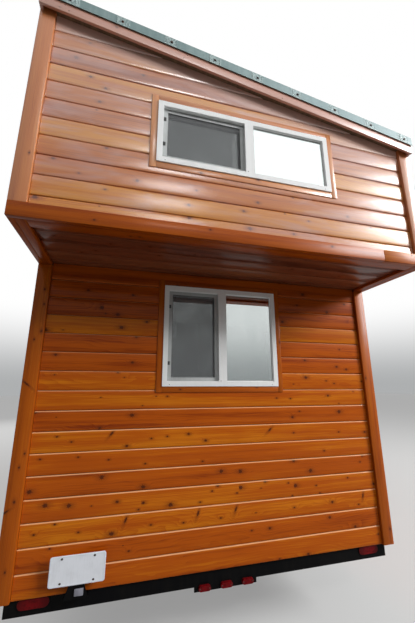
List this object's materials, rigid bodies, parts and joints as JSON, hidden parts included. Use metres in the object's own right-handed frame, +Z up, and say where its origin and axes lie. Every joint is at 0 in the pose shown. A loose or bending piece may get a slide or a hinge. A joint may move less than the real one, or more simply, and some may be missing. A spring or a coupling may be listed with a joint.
{
  "type": "tiny house on wheels",
  "caption": "Tiny house on a road trailer: varnished cedar siding, a loft that overhangs the rear end, a lean-to roof of ribbed metal and white sliding windows.",
  "frame": {"origin": "on the ground under the middle of the whole vehicle's box, tongue included", "axes": "+Z up, -Y towards the rear end with the plate and lamps, +Y towards the tongue, +X to the right seen from the rear"},
  "size_m": [2.715, 8.0586, 4.0173],
  "materials": {
    "cedar_siding": "gloss varnish",
    "cedar_trim": "gloss varnish",
    "cedar_soffit": "gloss varnish",
    "floor_wood": "bare",
    "white_vinyl": "satin",
    "window_glass": "clear",
    "insect_screen": "grey",
    "green_roof": "satin",
    "black_steel": "satin",
    "red_lens": "clear lens",
    "plate_white": "reflective white",
    "door_wood": "gloss varnish",
    "door_brass": "polished",
    "tyre_rubber": "matt",
    "rim_silver": "silver paint",
    "spring_steel": "satin",
    "jack_zinc": "zinc plated"
  },
  "bodies": {
    "root": {"rear_wall": "cedar_siding", "loft_rear_wall": "cedar_siding", "left_wall": "cedar_siding", "right_wall": "cedar_siding", "front_wall": "cedar_siding", "floor_deck": "floor_wood", "loft_floor": "floor_wood", "overhang_soffit": "cedar_soffit", "overhang_trim": "cedar_trim", "corner_boards": "cedar_trim", "spring_links": "spring_steel", "roof_deck": "floor_wood", "roof_edge_boards": "cedar_trim", "roof_sheet": "green_roof", "roof_flashings": "green_roof", "door_leaf": "door_wood", "door_knob": "door_brass", "rear_window_frame": "white_vinyl", "rear_window_glass": "window_glass", "rear_window_trim": "cedar_trim", "rear_window_screen": "insect_screen", "loft_window_frame": "white_vinyl", "loft_window_glass": "window_glass", "loft_window_trim": "cedar_trim", "loft_window_screen": "insect_screen", "left_windows_frame": "white_vinyl", "left_windows_glass": "window_glass", "left_windows_trim": "cedar_trim", "right_window_frame": "white_vinyl", "right_window_glass": "window_glass", "right_window_trim": "cedar_trim", "front_windows_frame": "white_vinyl", "front_windows_glass": "window_glass", "front_windows_trim": "cedar_trim", "trailer_frame": "black_steel", "leaf_springs": "spring_steel", "axles": "black_steel", "tyres": "tyre_rubber", "wheel_rims": "rim_silver", "fenders": "black_steel", "rear_bar": "black_steel", "rear_lamps": "red_lens", "licence_plate": "plate_white", "tongue": "black_steel", "tongue_jack": "jack_zinc"}
  },
  "joints": []
}
